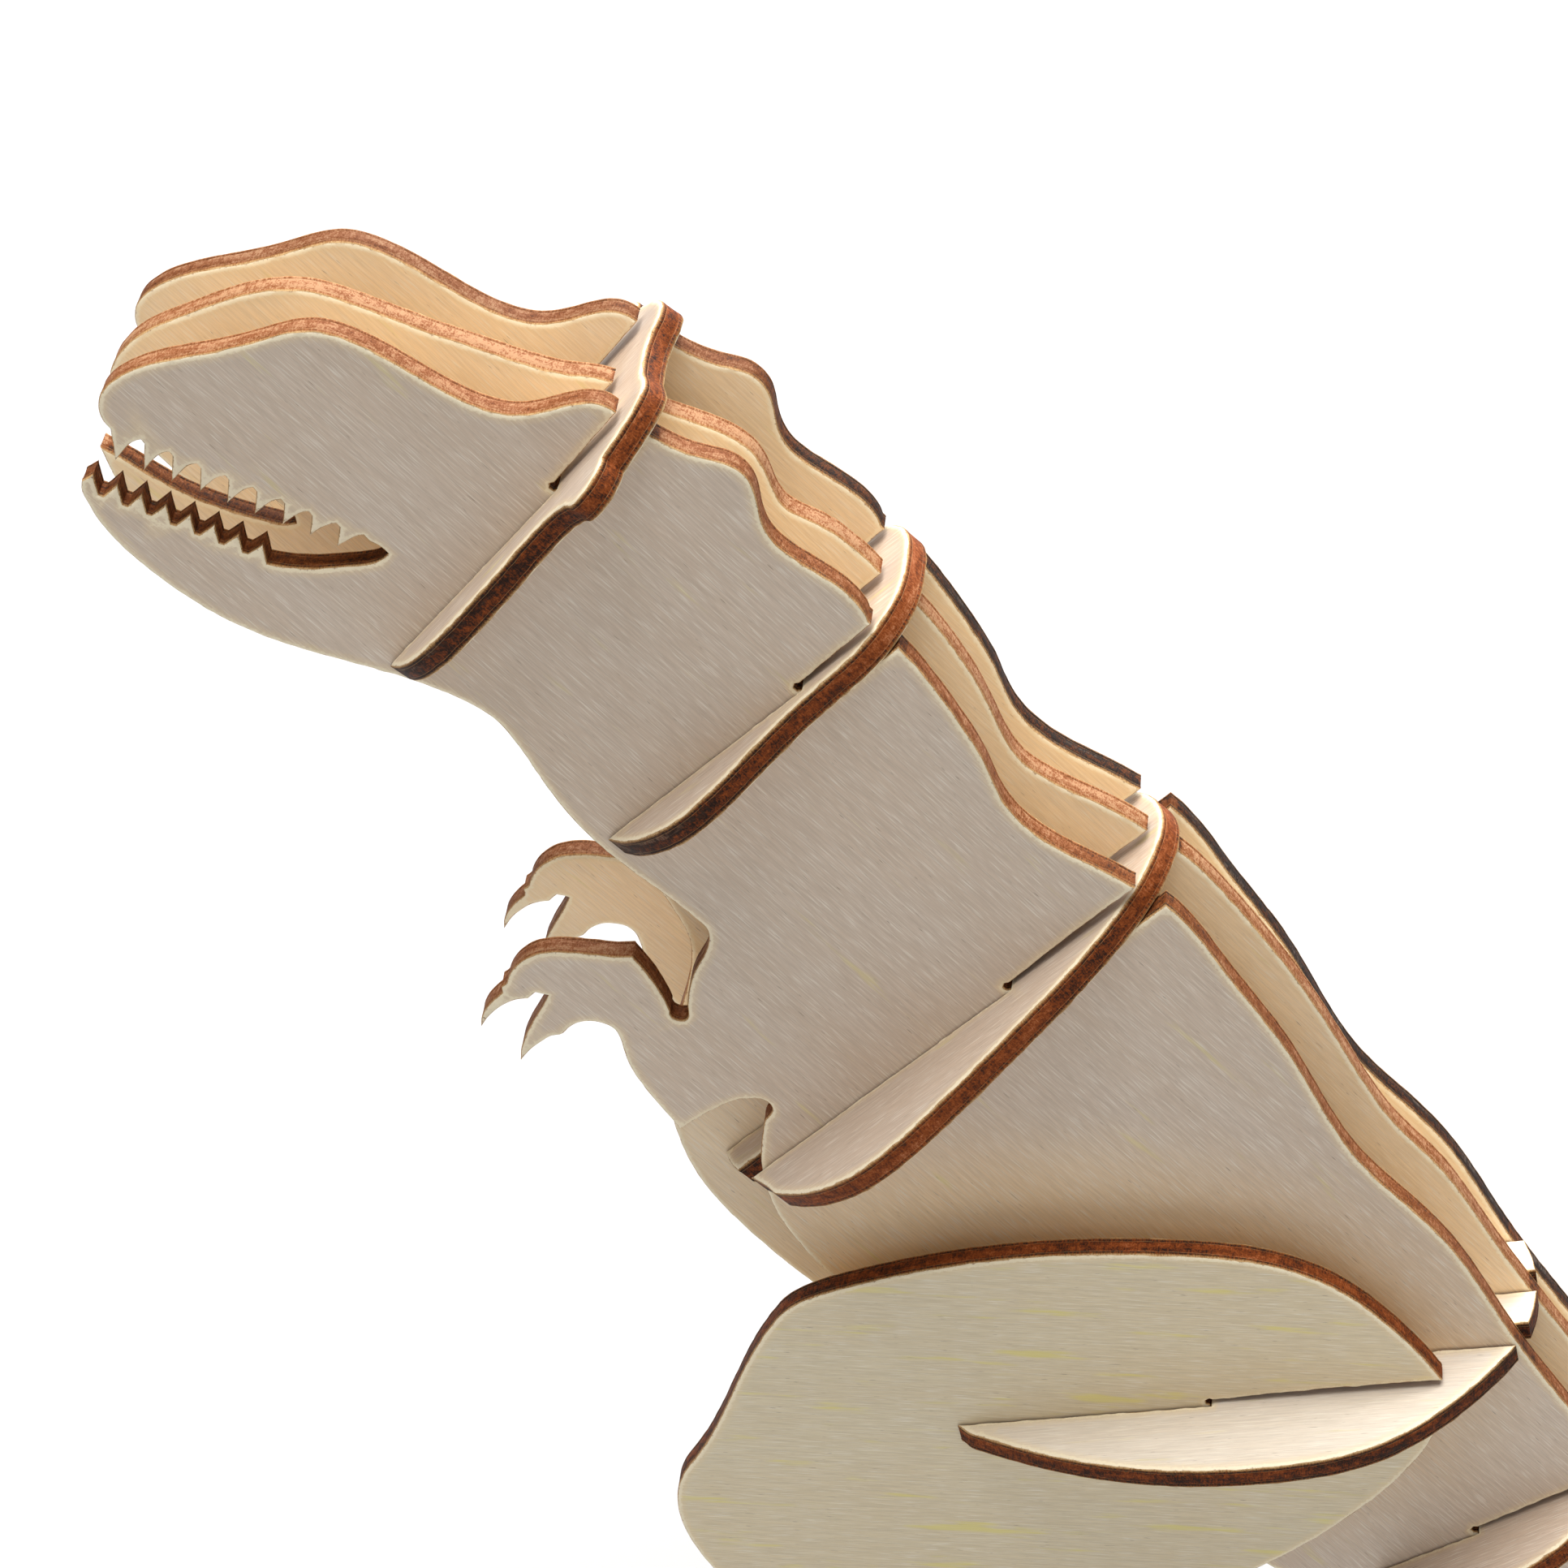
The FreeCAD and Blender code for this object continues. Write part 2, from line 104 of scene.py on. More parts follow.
# Rings of points on a face, by distance from the edge, with their spacing in steps, and
# the share of that distance that each point keeps from every edge. Further in than the
# limit, the points stand on a square grid.
RINGS = [(0.26, 1), (0.7, 2), (1.5, 3)]
RING_KEEP = 0.9
RING_LIMIT = 3.0
GRID = 5.0
# Random values round an outline: how far they swing about a half, and the largest.
RIPPLE_SWING, RIPPLE_MOST = 0.35, 1.2

# Grain direction of the upright plates, in degrees from the rearward level; a cross
# piece's grain runs up its own plane.
GRAIN = {"body_left": -46.4, "body_middle": -47.5, "body_right": -45.5, "leg_left": 2.0, "leg_right": -2.5}

# How dark each plate's edge is burnt, at points along the figure's length (mm):
# 0 is pale tan, 0.2 pinkish brown, 0.4 golden brown, 0.7 dark brown, 1 nearly black.
BURN = {
    "body_left": [(-147, 0.20), (-95, 0.22), (-80, 0.24), (-68, 0.44), (-58, 0.34), (-48, 0.24), (-39, 0.46),
                  (-30, 0.40), (-10, 0.36), (10, 0.42), (104, 0.45)],
    "body_middle": [(-147, 0.10), (-92, 0.08), (-60, 0.14), (0, 0.18), (60, 0.35), (146, 0.45)],
    "body_right": [(-147, 0.32), (-128, 0.24), (-92, 0.26), (-80, 0.34), (-74, 0.72), (-60, 0.88), (10, 0.92),
                   (104, 0.8)],
    "rib_1": [(-120, 1.0), (-112, 0.86), (-98, 0.70), (-92, 0.62), (-85, 0.55)],
    "rib_2": [(-97, 1.0), (-90, 0.84), (-76, 0.74), (-68, 0.58), (-62, 0.46), (-58, 0.36)],
    "rib_3": [(-82, 1.0), (-76, 0.66), (-68, 0.50), (-48, 0.50), (-38, 0.62), (-32, 0.40)],
    "hip_plate": [(-60, 0.6), (0, 0.74), (14, 0.8)],
    "leg_left": [(-88, 0.72), (-70, 0.64), (-40, 0.62), (4, 0.56)],
    "leg_right": [(-76, 0.66), (4, 0.56)],
}
OTHER_BURN = [(-100, 0.62), (150, 0.55)]
# Burn of the walls of the slots, of the mouth, and of the slit described below.
SLOT_BURN, MOUTH_BURN, SLIT_BURN = 0.62, 0.54, 0.40
# The mouth lies between its lower and upper lines, each as x then z, as far back as its end.
LOWER_LIP = ((-147, -142, -133, -114), (209.3, 201.6, 194.0, 187.5))
UPPER_LIP = ((-147, -143.5, -141, -114), (215.5, 216.5, 220.0, 222.0))
MOUTH_END = -114.5
# The inner end of the cut above the arm of an outer plate: its range in x and in z.
SLIT_X, SLIT_Z = (-91, -82), (139, 149)
# Edges that face less upward than UPWARD are darker, by up to UNDERSIDE_PAINTED_SHADE; this darkening is
# painted shade on the edges that face down.
UNDERSIDE_PAINTED_SHADE, UPWARD = 0.16, 0.1
# Soft variation of the burn along an edge, and how many points it is alike over.
UNEVEN, UNEVEN_REACH = 0.16, 14
# A slot's wall may lie this far outside the cross piece in it.
SLAB_MARGIN = 1.2

# Tint over the wood colour of the two faces of each plate: the left or front one, then
# the right or rear one. The brighter, warmer tint of the body plates' inner faces is painted
# bounce light between the plates.
WOOD = (0.78, 0.655, 0.50)
OUTER, INNER_WITH_PAINTED_BOUNCE = (0.95, 0.94, 1.00), (1.27, 1.24, 1.15)
LEG_OUTER, LEG_INNER = (1.06, 1.10, 1.02), (1.24, 1.18, 1.02)
VENEER = {
    "body_left": (OUTER, INNER_WITH_PAINTED_BOUNCE), "body_middle": (INNER_WITH_PAINTED_BOUNCE, INNER_WITH_PAINTED_BOUNCE), "body_right": (INNER_WITH_PAINTED_BOUNCE, OUTER),
    "leg_left": (LEG_OUTER, LEG_INNER), "leg_right": (LEG_INNER, LEG_OUTER),
    "hip_plate": ((1.10, 1.17, 1.30), (1.00, 1.02, 1.05)),
}
RIB_VENEER = ((0.90, 0.86, 0.90), (0.92, 0.88, 0.90))
# The body plates are painted brighter and more golden round the top of the leg beside them,
# a painted glow of light bounced off the leg: how far that patch's middle lies below the leg's
# top, its radii along x, y and z (metres), the share of them at which it starts to fade and is
# gone, and the tint it multiplies the wood by.
PAINTED_GLOW_BESIDE_LEG = {"body_left": "leg_left", "body_right": "leg_right"}
PAINTED_GLOW_DROP = 0.024
PAINTED_GLOW_RADII = (0.062, 1.0, 0.042)
PAINTED_GLOW_FADE = (0.55, 1.0)
PAINTED_GLOW_TINT = (1.32, 1.20, 0.93)

# Patterns: repeats per millimetre along the grain or edge, then across it, then the
# octaves and the roughness of the noise.
FIBRE = (0.16, 3.4, 4.0, 0.75)
DASH = (0.26, 6.5, 2.0, 0.6)
PORE = (0.50, 5.0, 1.0, 0.5)
BAND = (0.012, 0.16, 3.0, 0.6)
CLOUD = (0.03, 0.05, 3.0, 0.5)
STAIN = (0.055, 0.42, 3.0, 0.6)
RAGGED = (2.0, 2.0, 3.0, 0.7)
STREAK = (2.8, 0.6, 3.0, 0.7)
SPECK = (5.0, 3.4, 2.0, 0.7)
BLOTCH = (0.8, 1.3, 3.0, 0.6)
COMB = (4.2, 0.5, 2.0, 0.6)
SMOKE = (0.13, 0.7, 3.0, 0.55)
WANDER = (0.5, 0.0, 2.0, 0.5)
# Ranges of a pattern's values over which it comes in, from the softest to the crispest.
SOFT, MIDDLE, CRISP = (0.3, 0.7), (0.34, 0.66), (0.42, 0.58)
# How far each next plate's patterns are shifted from the last one's, on faces and edges.
# Pores swap the first two shifts, and come from a layer of the noise of their own.
FACE_SHIFT, EDGE_SHIFT = (37.0, 11.0, 5.0), (53.0, 0.0, 7.0)
PORE_LAYER = 3.0

# Over a face's wood, a shade multiplies its colour and a colour covers it.
BAND_SHADE, CLOUD_SHADE, FIBRE_SHADE = (0.97, 0.94, 0.90), (1.0, 0.93, 0.85), (0.74, 0.71, 0.68)
DASH_COLOUR, PORE_COLOUR, STAIN_COLOUR = (0.97, 0.91, 0.80), (0.26, 0.17, 0.10), (0.82, 0.72, 0.24)
# Where stains come in, and their strength, on the legs and on the other plates.
LEG_STAIN, PLATE_STAIN = (0.57, 0.75), (0.63, 0.35)
STAIN_WIDTH = 0.11
# Scorch on a face beside a cut, golden further out and dark brown at the cut, with a pale
# cream band between them that is partly the wood's pale halo and partly painted highlight of
# the rounded arris. Each row gives the distance within which it is full and that at which it
# is gone, its strength, and its colour. The distance itself is ragged by RAGGED_SWING.
SCORCH_AND_PAINTED_HIGHLIGHT = [
    (0.25, 1.40, 0.45, (0.90, 0.71, 0.42)),
    # Partly painted highlight: the pale cream band on the rounded arris.
    (0.24, 0.55, 0.85, (0.97, 0.85, 0.62)),
    (-0.16, 0.06, 0.85, (0.30, 0.14, 0.05)),
]
RAGGED_SWING = 0.9

# Colours of a cut edge, from the least burnt to the most.
BURN_RAMP = [
    (0.00, (0.54, 0.28, 0.14)), (0.20, (0.37, 0.140, 0.056)), (0.42, (0.26, 0.075, 0.016)),
    (0.62, (0.17, 0.047, 0.011)), (0.82, (0.058, 0.022, 0.010)), (1.00, (0.020, 0.011, 0.008)),
]
# How much each pattern varies the burn of the core, and of the veneers on either side.
STREAKED, SPECKED, BLOTCHED, SMOKED = 0.22, 0.30, 0.26, 0.22
MOTTLED, COMBED = 0.24, 0.34
ASH, ASH_STRENGTH = (0.36, 0.25, 0.18), 0.45
GLUE, GLUE_STRENGTH = (0.50, 0.30, 0.13), 0.5
# Ash lies where the smoke pattern and the burn both pass through these ranges.
ASH_SMOKE, ASH_BURN = (0.52, 0.64), (0.78, 0.9)
# Tint over the burnt colours: greyer on the profile plates and redder on the others.
EDGE_TINT = {
    "body_left": (0.78, 0.77, 0.76), "body_middle": (0.86, 0.88, 0.88), "body_right": (0.64, 0.64, 0.66),
}
OTHER_TINT = (1.04, 0.84, 0.74)
# Distances from the middle of the board: where an outer veneer starts and is full, and
# where the line of glue under it starts, is full and ends.
VENEER_FROM, VENEER_FULL = 0.80, 0.88
GLUE_FROM, GLUE_FULL, GLUE_END = 0.74, 0.79, 0.83
WANDER_SWING = 0.22      # how far those lines wander along the edge
SLANT = 0.18             # lean of the streaks (radians)
# Paler arrises: the distance from the middle of the board at which each tone starts and
# is full, its strength, and its colour. The distance itself is ragged by ARRIS_SWING.
ARRIS = [
    (0.98, 1.22, 0.55, (0.42, 0.20, 0.065)),
    (1.18, 1.36, 0.85, (0.64, 0.42, 0.20)),
]
ARRIS_SWING = 0.5

# Roughness of the faces, between the dark fibres and along them, and of cut edges and the
# floor; how shiny those last two are; and how deep the bumps are (mm).
FACE_ROUGHNESS, MATT = (0.46, 0.58), 0.7
EDGE_SHINE, FLOOR_SHINE = 0.15, 0.1
FACE_BUMP, EDGE_BUMP, FLOOR_BUMP = 0.05, 0.12, 0.02

# Studio, in metres and watts: a pale floor just below the figure, with the repeats per
# metre of its tone and of its tooth, and soft lights, each with its place, its width and
# height, and its power.
FLOOR_HALF, FLOOR_DROP = 6.0, 0.0003
FLOOR_TONES = (0.53, 0.53, 0.53), (0.55, 0.55, 0.55)
FLOOR_CLOUD, FLOOR_TOOTH = 3.0, 400.0
LIGHTS = [
    ("top_box", (-0.15, 0.1, 1.6), (1.2, 1.0), 28.0),
    ("back_box", (0.25, 1.5, 1.25), (1.3, 1.0), 48.0),
    ("front_box", (-0.2, -1.6, 1.0), (1.6, 1.2), 2.5),
]
LIGHTS_AIM = (0.0, 0.0, 0.1)
SKY_STRENGTH = 0.25

# Camera: the left side from above, aimed at the figure's neck (metres; lens in millimetres).
AZIMUTH, ELEVATION = math.radians(5.70), math.radians(38.80)
TARGET = Vector((-0.0737, -0.0100, 0.1753))
DISTANCE = 0.4503
LENS, SENSOR_WIDTH, NEAREST = 96.9, 36.0, 0.01


# ---- reading a packed plate -------------------------------------------------------
def plate_axes(node):
    """Unit vectors along the grain, across it and through the plate."""
    mesh = frame["nodes"][node].data
    normals = np.zeros(len(mesh.polygons) * 3)
    areas = np.zeros(len(mesh.polygons))
    mesh.polygons.foreach_get("normal", normals)
    mesh.polygons.foreach_get("area", areas)
    normals = normals.reshape(-1, 3)
    through = np.linalg.eigh((normals * areas[:, None]).T @ normals)[1][:, -1]
    upright = abs(through[1]) > 0.5
    if upright:
        through = through * np.sign(through[1])
        grain = math.radians(GRAIN[node])
        along = np.array([math.cos(grain), 0.0, math.sin(grain)])
    else:
        through = -through * np.sign(through[2])
        along = np.cross(through, (0.0, 1.0, 0.0))
    return along, np.cross(through, along), through


def outlines(node, axes):
    """The plate's closed outlines as (along, across) points, wood on the left, and its lower face's level."""
    mesh = bmesh.new()
    mesh.from_mesh(frame["nodes"][node].data)
    bmesh.ops.remove_doubles(mesh, verts=mesh.verts, dist=WELD)
    mesh.verts.index_update()
    points = np.array([v.co for v in mesh.verts]) / MM @ np.array(axes).T
    level = points[:, 2]
    upper = {f for f in mesh.faces if all(level[v.index] > level.max() - ON_FACE for v in f.verts)}
    following = {}
    for face in upper:
        for corner in face.loops:
            if sum(g in upper for g in corner.edge.link_faces) == 1:
                following[corner.vert.index] = corner.link_loop_next.vert.index
    mesh.free()
    loops = []
    while following:
        start = min(following)
        loop = [start]
        while following[loop[-1]] != start:
            loop.append(following[loop[-1]])
        for i in loop:
            del following[i]
        loops.append(points[loop, :2])
    return loops, level.min()


def smooth_span(points):
    """Evenly spaced points on a smooth curve from the first point to just before the last."""
    gaps = np.linalg.norm(np.diff(points, axis=0), axis=1)
    at = np.concatenate(([0.0], np.cumsum(gaps)))
    wanted = np.linspace(0.0, at[-1], max(2, round(at[-1] / STEP) + 1))[:-1]
    slopes = np.diff(points, axis=0) / gaps[:, None]
    tangents = np.empty_like(points)
    tangents[0], tangents[-1] = slopes[0], slopes[-1]
    before, after = gaps[:-1, None], gaps[1:, None]
    tangents[1:-1] = (slopes[:-1] * after + slopes[1:] * before) / (before + after)
    k = np.clip(np.searchsorted(at, wanted, side="right") - 1, 0, len(gaps) - 1)
    width = gaps[k][:, None]
    t = (wanted - at[k])[:, None] / width
    return (points[k] * (1 + 2 * t) * (1 - t) ** 2 + tangents[k] * width * t * (1 - t) ** 2
            + points[k + 1] * t * t * (3 - 2 * t) + tangents[k + 1] * width * t * t * (t - 1))


def resampled(loop):
    """The outline again, evenly spaced and smooth between its corners."""
    ahead = np.roll(loop, -1, axis=0) - loop
    heading = np.arctan2(ahead[:, 1], ahead[:, 0])
    turn = np.angle(np.exp(1j * (heading - np.roll(heading, 1))))
    corners = np.flatnonzero(np.abs(turn) > CORNER)
    if len(corners) == 0:
        corners = np.array([0])
    loop = np.roll(loop, -corners[0], axis=0)
    corners = np.append(corners - corners[0], len(loop))
    loop = np.vstack([loop, loop[:1]])
    return np.vstack([smooth_span(loop[a:b + 1]) for a, b in zip(corners, corners[1:])])


def inward(loop):
    """Unit vectors into the wood at each point of an outline."""
    chord = np.roll(loop, -1, axis=0) - np.roll(loop, 1, axis=0)
    chord /= np.maximum(np.linalg.norm(chord, axis=1), TINY)[:, None]
    return np.stack([-chord[:, 1], chord[:, 0]], axis=1)


def ripple(random, count, reach):
    """Random values about a half round a loop, alike over about reach points."""
    raw = random.normal(size=count)
    window = np.hanning(reach * 2 + 3)
    padded = np.concatenate([raw[-len(window):], raw, raw[:len(window)]])
    soft = np.convolve(padded, window / np.sqrt((window ** 2).sum()), mode="same")
    return np.clip(0.5 + RIPPLE_SWING * soft[len(window):len(window) + count], 0.0, RIPPLE_MOST)


def cross_slabs():
    """The slab that each cross piece fills: its direction, its level, and its lowest and highest corners."""
    slabs = []
    for cross in sorted(set(frame["nodes"]) - set(GRAIN)):
        if not cross.startswith("foot"):
            axes = plate_axes(cross)
            corners = (np.array(c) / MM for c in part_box(cross))
            slabs.append((axes[2], outlines(cross, axes)[1], *corners))
    return slabs


SLABS = cross_slabs()


# ---- building a plate -----------------------------------------------------------------
def face_triangles(rims):
    """Points added inside a face, their distances from its rim, and triangles over rims then added points."""
    rim = np.vstack(rims)
    tree = KDTree(len(rim))
    for i, (a, b) in enumerate(rim):
        tree.insert((a, b, 0.0), i)
    tree.balance()
    added, away = [], []
    for distance, stride in RINGS:
        for loop in rims:
            for a, b in (loop + inward(loop) * distance)[::stride]:
                found = tree.find((a, b, 0.0))[2]
                if found > RING_KEEP * distance:
                    added.append((a, b))
                    away.append(found)
    low, high = rim.min(axis=0), rim.max(axis=0)
    for a in np.arange(low[0] + GRID / 2, high[0], GRID):
        for b in np.arange(low[1] + GRID / 2, high[1], GRID):
            found = tree.find((a, b, 0.0))[2]
            if found > RING_LIMIT:
                added.append((a, b))
                away.append(found)
    edges, start = [], 0
    for loop in rims:
        count = len(loop)
        edges += [(start + i, start + (i + 1) % count) for i in range(count)]
        start += count
    given = [Vector(p) for p in rim] + [Vector(p) for p in added]
    points, _, faces, origins, _, _ = delaunay_2d_cdt(given, edges, [], 2, JOIN)
    used = sorted({i for face in faces for i in face})
    index, kept, kept_away = {}, [], []
    for i in used:
        origin = origins[i][0] if origins[i] else None
        if origin is not None and origin < len(rim):
            index[i] = origin
            continue
        index[i] = len(rim) + len(kept)
        kept.append(tuple(points[i]))
        kept_away.append(0.0 if origin is None else away[origin - len(rim)])
    return kept, kept_away, [[index[i] for i in face] for face in faces]


def in_slot(x, z):
    """True where an upright plate's edge lies in the slab of a cross piece, so it is a slot's wall."""
    inside = np.zeros(len(x), bool)
    for through, level, low, high in SLABS:
        depth = through[0] * x + through[2] * z - level
        inside |= ((depth > -SLAB_MARGIN) & (depth < PLY + SLAB_MARGIN)
                   & (x > low[0]) & (x < high[0]) & (z > low[2]) & (z < high[2]))
    return inside


def burn_at(node, x, z, up):
    """How dark the cut edge is at a place on the figure, from 0 to 1; up is how far it faces upward."""
    table = BURN.get(node, OTHER_BURN)
    burn = np.interp(x, [p[0] for p in table], [p[1] for p in table])
    # Painted shade: edges that face downward are made darker.
    burn = burn + UNDERSIDE_PAINTED_SHADE * np.clip(UPWARD - up, 0.0, 1.0)
    if node.startswith("body"):
        in_mouth = (x < MOUTH_END) & (z > np.interp(x, *LOWER_LIP)) & (z < np.interp(x, *UPPER_LIP))
        burn = np.where(in_mouth, MOUTH_BURN, burn)
    if node in ("body_left", "body_right"):
        in_slit = (x > SLIT_X[0]) & (x < SLIT_X[1]) & (z > SLIT_Z[0]) & (z < SLIT_Z[1])
        burn = np.where(in_slit, SLIT_BURN, burn)
    if node in GRAIN:
        burn = np.where(in_slot(x, z), SLOT_BURN, burn)
    return burn


def build_plate(node, number):
    """A new mesh object for one plate."""
    random = np.random.RandomState(FIRST_SEED + number)
    axes = plate_axes(node)
    loops, floor_level = outlines(node, axes)
    loops = [resampled(loop) for loop in loops]
    points, rims, burns, quads, quad_uv = [], [], [], [], []
    first_rims, last_rims = [], []
    for loop in loops:
        count = len(loop)
        into_wood = inward(loop)
        base = sum(len(p) for p in points)
        arc = np.concatenate(([0.0], np.cumsum(np.linalg.norm(np.roll(loop, -1, axis=0) - loop, axis=1))))
        grain_of_ply = [ripple(random, count, 1) for _ in range(3)]
        outward_up = -(into_wood @ np.array([axes[0][2], axes[1][2]]))
        for depth, sunk, varies, ply in WALL:
            ring = loop + into_wood * (sunk + varies * grain_of_ply[ply])[:, None]
            level = np.full(count, depth)
            if depth in (WALL[0][0], WALL[-1][0]):
                level += np.sign(depth - PLY / 2) * FRAY * (ripple(random, count, 1) - 0.5)
            points.append(np.column_stack([ring, level]))
            place = np.column_stack([ring, level + floor_level]) @ np.array(axes)
            uneven = UNEVEN * (ripple(random, count, UNEVEN_REACH) - 0.5)
            burns.append(np.clip(burn_at(node, place[:, 0], place[:, 2], outward_up) + uneven, 0, 1))
            rims.append(np.zeros(count))
        first_rims.append(points[-len(WALL)][:, :2])
        last_rims.append(points[-1][:, :2])
        for row in range(len(WALL) - 1):
            for i in range(count):
                j = (i + 1) % count
                lower, upper = base + row * count, base + (row + 1) * count
                quads.append((lower + i, lower + j, upper + j, upper + i))
                low, high = WALL[row][0], WALL[row + 1][0]
                quad_uv += [(arc[i], low), (arc[i + 1], low), (arc[i + 1], high), (arc[i], high)]
    starts = np.cumsum([0] + [len(loop) * len(WALL) for loop in loops])
    triangles, tri_uv = [], []
    total = starts[-1]
    for rim_loops, depth, row in ((first_rims, 0.0, 0), (last_rims, PLY, len(WALL) - 1)):
        added, away, faces = face_triangles(rim_loops)
        lookup = np.concatenate([start + row * len(loop) + np.arange(len(loop))
                                 for start, loop in zip(starts, loops)] + [total + np.arange(len(added))])
        flat = np.vstack(rim_loops + [np.array(added)])
        points.append(np.column_stack([added, np.full(len(added), depth)]))
        rims.append(np.array(away))
        burns.append(np.zeros(len(added)))
        total += len(added)
        for face in faces:
            if row == 0:
                face = face[::-1]
            triangles.append([int(lookup[i]) for i in face])
            tri_uv += [tuple(flat[i]) for i in face]
    cloud = np.vstack(points)
    placed = (cloud + (0, 0, floor_level)) @ np.array(axes) * MM
    mesh = bpy.data.meshes.new("ply_" + node)
    mesh.from_pydata(placed.tolist(), [], quads + triangles)
    uv = mesh.uv_layers.new(name="grain")
    uv.data.foreach_set("uv", np.array(quad_uv + tri_uv, np.float32).ravel())
    for name, values in (("rim", rims), ("burn", burns), ("side", [cloud[:, 2] / PLY])):
        layer = mesh.attributes.new(name, "FLOAT", "POINT")
        layer.data.foreach_set("value", np.concatenate(values).astype(np.float32))
    is_wall = np.zeros(len(mesh.polygons), bool)
    is_wall[:len(quads)] = True
    mesh.polygons.foreach_set("use_smooth", np.ones(len(mesh.polygons), bool))
    mesh.polygons.foreach_set("material_index", is_wall.astype(np.int32))
    mesh.set_sharp_from_angle(angle=SHARP)
    mesh.update()
    piece = bpy.data.objects.new("ply_" + node, mesh)
    bpy.context.scene.collection.objects.link(piece)
    return piece


# ---- materials ---------------------------------------------------------------------------
class Graph:
    """A short way to write shader nodes."""

    def __init__(self, name):
        self.material = bpy.data.materials.new(name)
        self.material.use_nodes = True
        self.tree = self.material.node_tree
        self.tree.nodes.clear()

    def add(self, kind, sockets=None, **settings):
        made = self.tree.nodes.new("ShaderNode" + kind)
        for key, value in settings.items():
            setattr(made, key, value)
        for key, value in (sockets or {}).items():
            if isinstance(value, bpy.types.NodeSocket):
                self.tree.links.new(value, made.inputs[key])
            else:
                made.inputs[key].default_value = value
        return made

    def math(self, operation, a, b=0.0):
        return self.add("Math", {0: a, 1: b}, operation=operation).outputs[0]

    def swing(self, value, amount):
        """Turns a value about a half into one about zero, amount times as wide."""
        return self.math("MULTIPLY", self.math("SUBTRACT", value, 0.5), amount)

    def noise(self, vector, scale=1.0, detail=2.0, roughness=0.5):
        sockets = {"Vector": vector, "Scale": scale, "Detail": detail, "Roughness": roughness}
        return self.add("TexNoise", sockets, noise_dimensions="3D").outputs["Fac"]

    def pattern(self, vector, shift, along, across, detail, roughness):
        stretched = self.add("Mapping", {"Vector": vector, "Scale": (along, across, 1.0), "Location": shift})
        return self.noise(stretched.outputs[0], detail=detail, roughness=roughness)

    def blend(self, a, b, share):
        """The sum of two patterns, with that share of the first."""
        return self.math("ADD", self.math("MULTIPLY", a, share), self.math("MULTIPLY", b, 1.0 - share))

    def fade(self, value, low, high, to_low=0.0, to_high=1.0):
        return self.add("MapRange", {"Value": value, "From Min": low, "From Max": high, "To Min": to_low,
                                     "To Max": to_high}, interpolation_type="SMOOTHSTEP").outputs[0]

    def mix(self, factor, a, b, blend="MIX"):
        made = self.add("Mix", data_type="RGBA", blend_type=blend)
        for socket, value in ((made.inputs[0], factor), (made.inputs[6], a), (made.inputs[7], b)):
            if isinstance(value, bpy.types.NodeSocket):
                self.tree.links.new(value, socket)
            elif isinstance(value, tuple):
                socket.default_value = (*value, 1.0)
            else:
                socket.default_value = value
        return made.outputs[2]

    def ramp(self, factor, stops):
        made = self.add("ValToRGB", {"Fac": factor})
        elements = made.color_ramp.elements
        while len(elements) < len(stops):
            elements.new(0.5)
        for element, (place, colour) in zip(elements, stops):
            element.position = place
            element.color = (*colour, 1.0)
        return made.outputs[0]

    def attribute(self, name):
        return self.add("Attribute", attribute_name=name).outputs["Fac"]

    def finish(self, colour, roughness, height, depth, specular=0.5):
        """The material, with a bump of that height pattern that is depth millimetres deep."""
        bump = self.add("Bump", {"Height": height, "Strength": 1.0, "Distance": depth * MM})
        shader = self.add("BsdfPrincipled", {"Base Color": colour, "Roughness": roughness,
                                             "Specular IOR Level": specular, "Normal": bump.outputs[0]})
        self.add("OutputMaterial", {"Surface": shader.outputs[0]})
        return self.material


